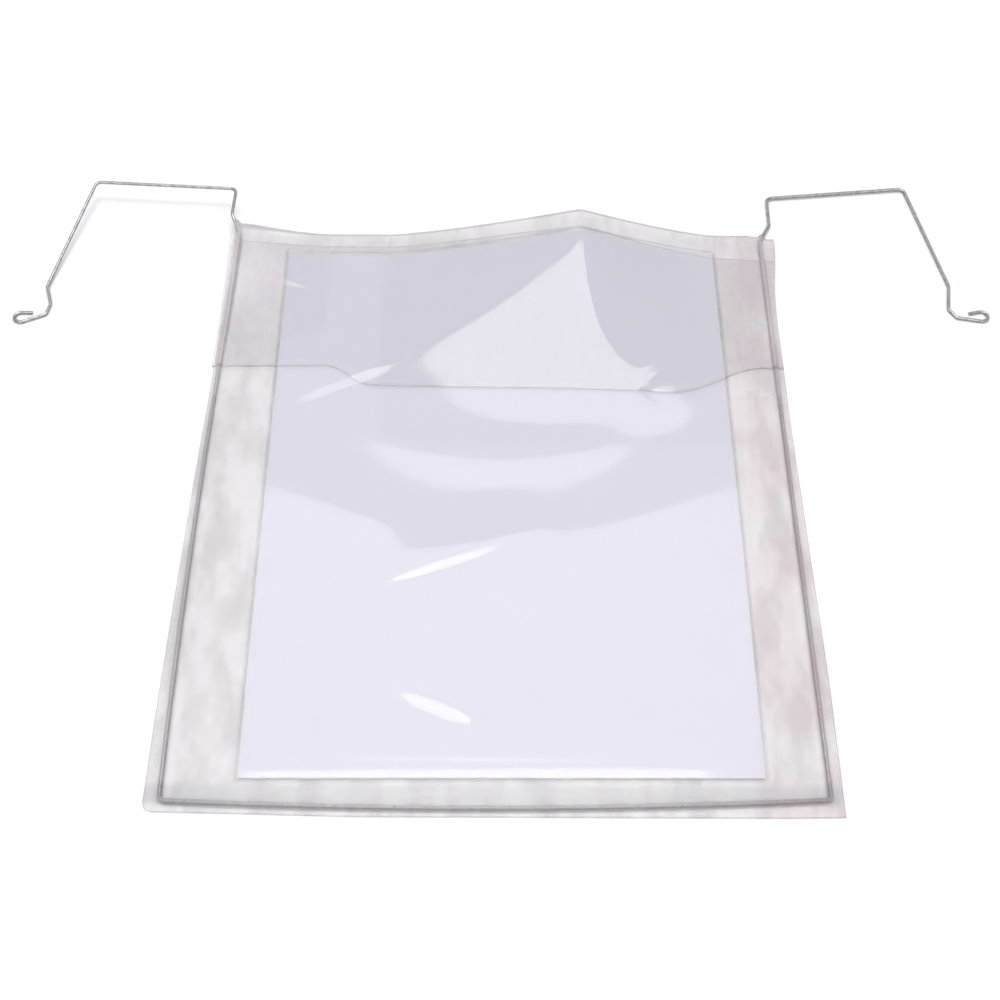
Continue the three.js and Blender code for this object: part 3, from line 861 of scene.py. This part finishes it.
# the darkening is partly painted shade: the shadow line beside the paper and the dark lines at the
# channel's sides
dark = RIM_DARK * rim + PAPER_SHADOW_DARK * painted_paper_shadow + CLOUD_DARK * in_margin * cloud
dark = dark + CHANNEL_SHADE_DARK * painted_channel_shade + BELOW_DARK * below_paper
dark = dark * (1 - LIP_DARK_LESS * above_lip) + LIP_DARK * above_lip
print("haze and darkening:", len(film.nodes), "nodes so far")

# %% [markdown]
# Last come the colours and the gloss. The right margin has a faint warm tinge, and fine
# weld ribs run outside the wire. The film over the paper has a clear coat, which gives
# the sharp reflections. In the margins the gloss is rougher and slightly uneven.

# %%
FILM_OVER_PAPER = (0.63, 0.615, 0.655, 1)
FILM_MARGIN = (0.46, 0.425, 0.432, 1)
FILM_WARM = (0.46, 0.36, 0.385, 1)
# painted light: the film is paler under the flap in the margins, to make up for the table behind
# six faces rendering too dark
FILM_PAINTED_LIGHT_UNDER_FLAP = (0.54, 0.505, 0.515, 1)
# FILM_DARK darkens the cut edges, the cloudy patches and the band below the paper, and is also the
# colour of the painted shade beside the paper and at the channel's sides
FILM_DARK = (0.25, 0.24, 0.25, 1)
WARM_SIDE, WARM_SCALE, WARM_RANGE, WARM_LOST_UNDER_FLAP = (100, 112), 30, (0.3, 0.55), 0.65
FILM_ROUGHNESS, MARGIN_ROUGHNESS, CLOUD_ROUGHNESS = 0.08, 0.22, 0.12
COAT_LOST_IN_MARGIN = 0.85
RIB_TURN, RIB_DEPTH, UNEVEN_SCALE, BUMP_DEPTH = 5.2, 0.05, 130, 0.0002

warm = across.step(*WARM_SIDE) * film.noise(WARM_SCALE, 2).step(*WARM_RANGE)
warm = warm * (1 - WARM_LOST_UNDER_FLAP * under_flap)
margin = film.blend(under_flap, FILM_MARGIN, FILM_PAINTED_LIGHT_UNDER_FLAP)
tint = film.blend(in_margin, FILM_OVER_PAPER, film.blend(warm, margin, FILM_WARM))
ribs = (wire_away * RIB_TURN).sine() * weld
uneven = in_margin * film.noise(UNEVEN_SCALE, 1, CLOUD_STRETCH)
film_shader = film.node("ShaderNodeBsdfPrincipled", {
    "Base Color": film.blend(dark, tint, FILM_DARK),
    "Roughness": FILM_ROUGHNESS + in_margin * (MARGIN_ROUGHNESS + CLOUD_ROUGHNESS * cloud),
    "IOR": 1.5,
    "Specular IOR Level": 1.0,
    "Coat Weight": 1 - COAT_LOST_IN_MARGIN * in_margin,
    "Coat Roughness": 0.04,
    "Alpha": haze,
    "Normal": film.bump(ribs * RIB_DEPTH + uneven, BUMP_DEPTH),
})
film.node("ShaderNodeOutputMaterial", {"Surface": film_shader})
print("clear film:", len(film.nodes), "nodes")

# %% [markdown]
# ## Front film
#
# The front film is cut from one flat piece and is open at its upper lip, under the
# flap. Rows of even spacing would be the simplest, but they would cross the wire's lower
# bar at a slant. These start at the cut lower edge, follow the bar's channel, run
# straight across the pocket and end along the lip.

# %%
UP_THE_POCKET = np.arange(LOW_ROW, 307, 1.5)
FRONT_CUT_ROWS = (0, 0.4, 1.2)
LIP_ROW_SHARES = (0.5, 0.93, 1)

lower_cut = np.interp(low, *np.array(LOWER_EDGE).T)
over_bar = lower_bar_at(low)
lip = POCKET_LENGTH - np.interp(low, *np.array(LIP_DEPTH).T)
last_row = UP_THE_POCKET[-1]
front_rows = [lower_cut + d for d in FRONT_CUT_ROWS]
front_rows += [over_bar + d for d in OVER_WIRE]
front_rows += [over_bar + POCKET_START]
front_rows += [np.full(len(low), y) for y in UP_THE_POCKET]
front_rows += [last_row + s * (lip - last_row) for s in LIP_ROW_SHARES]
front_y = np.stack(front_rows)
front_x = column_places(front_y)
front_z = rise(front_x, front_y) + front_face(front_x, front_y)
front_under = surface(front_x, front_y, front_z)
front_upper = surface(front_x, front_y, front_z + FILM)
front = shell("front_sheet", front_under, front_upper, film.owner)
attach(front, "root")
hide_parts("front_film")
front.visible_shadow = False

# %% [markdown]
# ## Back film and rain flap
#
# They are one sheet, and could be two that meet at the fold, but a single grid keeps the
# fold closed and its gloss unbroken. It lies on the table, follows the ridge, turns over
# at the fold and comes back as the flap, whose free edge is cut deeper in the middle.

# %%
FOLD_STEPS, FOLD_MARK = 12, (3, 7)
FLAP_ROWS, FLAP_ROW_CROWDING = 70, 1.2
BACK_CUT_ROWS, BACK_ROWS = (0, 0.4, 1.5), np.arange(6, 324, 3.0)
FOLD_DROP_SHARE = 0.6


def fold_place(x):
    """Where the fold runs: straight, but lower beyond the wire on the right."""
    drop_width = FOLD_DROP_SHARE * (right_side(FOLD_LINE) - RIGHT_KNEE[0])
    return FOLD_LINE - FOLD_DROP * smooth((x - RIGHT_KNEE[0]) / drop_width)


def flap_edge(x):
    """Where the flap's free edge runs, with a smooth step on either side."""
    (left_step, left_half), (right_step, right_half) = FLAP_STEPS
    deeper = smooth((x - left_step + left_half) / (2 * left_half))
    deeper = deeper * smooth((right_step + right_half - x) / (2 * right_half))
    depth = np.interp(x, *np.array(FLAP_DEPTH).T) - FLAP_DEPTH_AT_SIDES
    return POCKET_LENGTH - FLAP_DEPTH_AT_SIDES - depth * deeper


fold_start = fold_place(top)
back_rows = [lower_cut + d for d in BACK_CUT_ROWS]
back_rows += [np.full(len(low), y) for y in BACK_ROWS]
back_rows += [fold_start]
back_y = np.stack(back_rows)
back_x = column_places(back_y)
back_z = rise(back_x, back_y)
back_outer = surface(back_x, back_y, back_z)
back_inner = surface(back_x, back_y, back_z + FILM)
print("rows of the back film:", len(back_rows))

# %%
outer = (flap_face(top, fold_start) + FILM) / 2
turn = np.pi * (np.arange(1, FOLD_STEPS) / FOLD_STEPS - 0.5)[:, None]


def round_fold(radius):
    """The half turn from the back film to the flap."""
    y = fold_start + radius * np.cos(turn)
    x = np.broadcast_to(top, y.shape).copy()
    x[:, -1] = right_edge(y[:, -1])
    z = rise(top, fold_start) + outer + radius * np.sin(turn)
    return surface(x, y, z)


flap_share = (np.arange(FLAP_ROWS + 1) / FLAP_ROWS)[:, None] ** FLAP_ROW_CROWDING
flap_y = fold_start + flap_share * (flap_edge(top) - fold_start)
flap_x = column_places(flap_y, FLAP_OVERHANG * flap_share)
flap_z = rise(flap_x, flap_y) + flap_face(flap_x, flap_y)
flap_under = surface(flap_x, flap_y, flap_z)
flap_upper = surface(flap_x, flap_y, flap_z + FILM)
outside_face = np.concatenate([back_outer, round_fold(outer), flap_upper])
inside_face = np.concatenate([back_inner, round_fold(outer - FILM), flap_under])
fold_rows = [len(back_outer) + i for i in range(*FOLD_MARK)]
back = shell("back_sheet_with_flap", outside_face, inside_face, film.owner, folded=fold_rows)
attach(back, "root")
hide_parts("back_film_with_flap")
back.visible_shadow = False

# %% [markdown]
# ## Paper
#
# A blank sheet, a little bluish, which follows the ridge at its top edge. A bent plane
# would do, but the shell gives it the solid's thickness and its own true edges. It is
# drawn slightly narrower where it climbs the ridge, because its length across stays the
# same.

# %%
PAPER_COLOUR = (0.61, 0.60, 0.665, 1)
PAPER_SHADE = (0.595, 0.585, 0.65, 1)
FLECK_SCALE, FLECK_RANGE = 700, (0.3, 0.7)
TOOTH_SCALE, TOOTH_DEPTH = 1500, 0.00003
PAPER_ROWS, PAPER_COLUMNS = 100, 90

fibre = Tree(bpy.data.materials.new("plain_paper"))
fleck = fibre.noise(FLECK_SCALE, 4).step(*FLECK_RANGE)
paper_shader = fibre.node("ShaderNodeBsdfPrincipled", {
    "Base Color": fibre.blend(fleck, PAPER_COLOUR, PAPER_SHADE),
    "Roughness": 0.85,
    "Specular IOR Level": 0.2,
    "Normal": fibre.bump(fibre.noise(TOOTH_SCALE, 4), TOOTH_DEPTH),
})
fibre.node("ShaderNodeOutputMaterial", {"Surface": paper_shader})

up = np.linspace(0, 1, PAPER_ROWS)[:, None]
half = (PAPER_WIDTH - RIDGE_TAKE_UP * up ** 2) / 2
middle = PAPER_MIDDLE - PAPER_TURN * up * PAPER_LENGTH
paper_x = middle + half * np.linspace(-1, 1, PAPER_COLUMNS)
paper_y = PAPER_LOWER_EDGE + PAPER_LENGTH * up + PAPER_TURN * paper_x
paper_z = rise(paper_x, paper_y) + FILM + GAP
paper_under = surface(paper_x, paper_y, paper_z)
paper_upper = surface(paper_x, paper_y, paper_z + PAPER_THICKNESS)
paper = shell("paper_sheet", paper_under, paper_upper, fibre.owner)
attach(paper, "root")
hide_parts("document_sheet")

# %% [markdown]
# ## The size, compared with the solids' box
#
# The box of all that was made is compared with the solids' box and the difference is
# printed, so that a piece that has grown past them is seen at once.

visual_box = [list(corner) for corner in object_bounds()]
growth = [[round(1000 * (v - c), 2) for c, v in zip(*pair)] for pair in zip(cad_box, visual_box)]
print("difference from the solids' box in mm:", growth)
